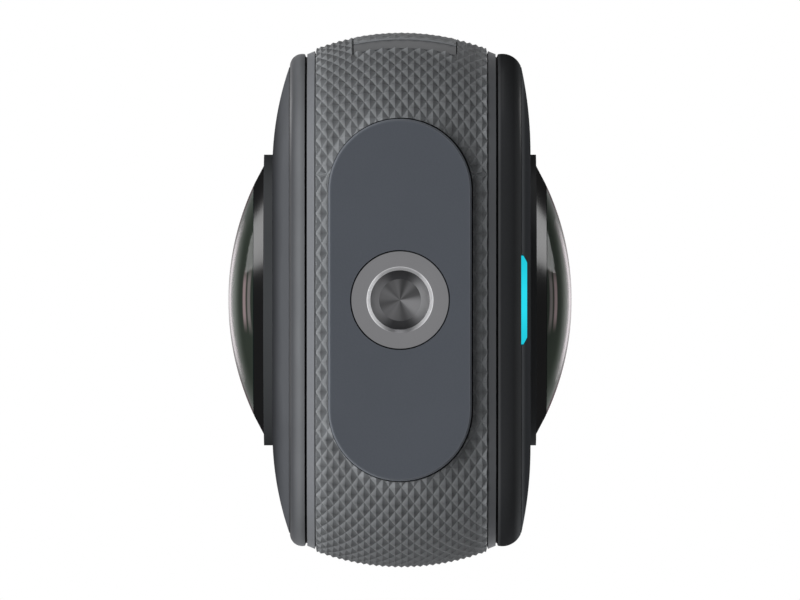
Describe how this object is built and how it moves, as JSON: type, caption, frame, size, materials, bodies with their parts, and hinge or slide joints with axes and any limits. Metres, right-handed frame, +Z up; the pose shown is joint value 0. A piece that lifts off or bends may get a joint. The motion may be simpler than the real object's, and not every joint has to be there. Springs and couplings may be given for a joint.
{
  "type": "360 degree camera",
  "caption": "Slim upright camera with a domed fisheye lens on each face, a knurled band round its sides, a round screen and a slide-out battery with a tripod socket in its foot.",
  "frame": {"origin": "on the battery foot's face, on the axis of the tripod socket", "axes": "+Z up along the camera's length, +X along its width, -Y towards the screen side"},
  "size_m": [0.0462, 0.0308, 0.113],
  "materials": {
    "frame_plastic": "fine satin moulding",
    "grip_rubber": "knurled, matt",
    "seal_rubber": "matt",
    "front_shell": "satin gloss",
    "rear_shell": "fine satin",
    "foot_paint": "fine satin",
    "socket_steel": "turned and polished",
    "cell_wrap": "matt",
    "cell_foil": "rolled",
    "contact_gold": "plated",
    "board_green": "solder mask",
    "cast_alloy": "die cast, matt",
    "spring_steel": "drawn",
    "button_plastic": "satin",
    "switch_plastic": "matt",
    "screen_glass": "polished glass over a dark display",
    "display_black": "dark",
    "light_guide": "lit, satin",
    "lamp": "clear resin",
    "lens_ring_black": "satin",
    "bezel_gloss": "polished",
    "barrel_black": "matt, light trap",
    "lens_glass": "coated optical glass"
  },
  "bodies": {
    "camera": {"antenna": "switch_plastic", "bay_contacts": "cell_wrap", "display_module": "display_black", "frame_screws": "spring_steel", "front_dome_lens": "lens_glass", "front_frame": "front_shell", "front_gasket": "seal_rubber", "front_image_sensor": "display_black", "front_inner_lens": "lens_glass", "front_lens_barrel": "barrel_black", "front_lens_bezel": "bezel_gloss", "front_lens_ring": "lens_ring_black", "front_panel": "front_shell", "front_relay_lens": "lens_glass", "front_sensor_board": "board_green", "grip_skin": "grip_rubber", "heat_spreader": "cell_foil", "inner_chassis": "cast_alloy", "latch_spring": "spring_steel", "lens_carrier": "cast_alloy", "main_board": "board_green", "memory_card_slot": "cell_wrap", "microphones": "spring_steel", "mid_frame": "frame_plastic", "power_switch": "switch_plastic", "processor_shield": "cell_foil", "rear_dome_lens": "lens_glass", "rear_frame": "rear_shell", "rear_gasket": "seal_rubber", "rear_image_sensor": "display_black", "rear_inner_lens": "lens_glass", "rear_lens_barrel": "barrel_black", "rear_lens_bezel": "bezel_gloss", "rear_lens_ring": "lens_ring_black", "rear_panel": "rear_shell", "rear_relay_lens": "lens_glass", "rear_sensor_board": "board_green", "screen_glass": "screen_glass", "sensor_plate": "cell_foil", "shutter_switch": "switch_plastic", "speaker": "cell_wrap", "status_led": "lamp", "status_light": "light_guide", "usb_board": "board_green", "usb_door_pin": "spring_steel", "usb_socket": "spring_steel"},
    "battery": {"battery_foot": "foot_paint", "battery_case": "cell_wrap", "battery_cell": "cell_foil", "battery_board": "board_green", "battery_contacts": "contact_gold", "battery_seal": "seal_rubber", "tripod_socket": "socket_steel"},
    "shutter": {"shutter_button": "button_plastic"},
    "power": {"power_button": "button_plastic"},
    "door": {"usb_door": "grip_rubber", "usb_door_seal": "seal_rubber"},
    "latch": {"battery_latch": "button_plastic"}
  },
  "joints": [
    {"name": "battery_slide", "type": "slide", "parent": "camera", "child": "battery", "axis": [0, 0, -1], "range_m": [0, 0.05]},
    {"name": "latch_press", "type": "slide", "parent": "camera", "child": "latch", "axis": [1, 0, 0], "range_m": [0, 0.0008], "stiffness_N_per_m": 400},
    {"name": "shutter_press", "type": "slide", "parent": "camera", "child": "shutter", "axis": [0, 1, 0], "range_m": [0, 0.00035], "stiffness_N_per_m": 600},
    {"name": "power_press", "type": "slide", "parent": "camera", "child": "power", "axis": [-1, 0, 0], "range_m": [0, 0.00035], "stiffness_N_per_m": 600},
    {"name": "door_hinge", "type": "hinge", "parent": "camera", "child": "door", "pos_m": [-0.0215, 0, 0.0664], "axis": [0, 1, 0], "range_deg": [0, 85]}
  ]
}
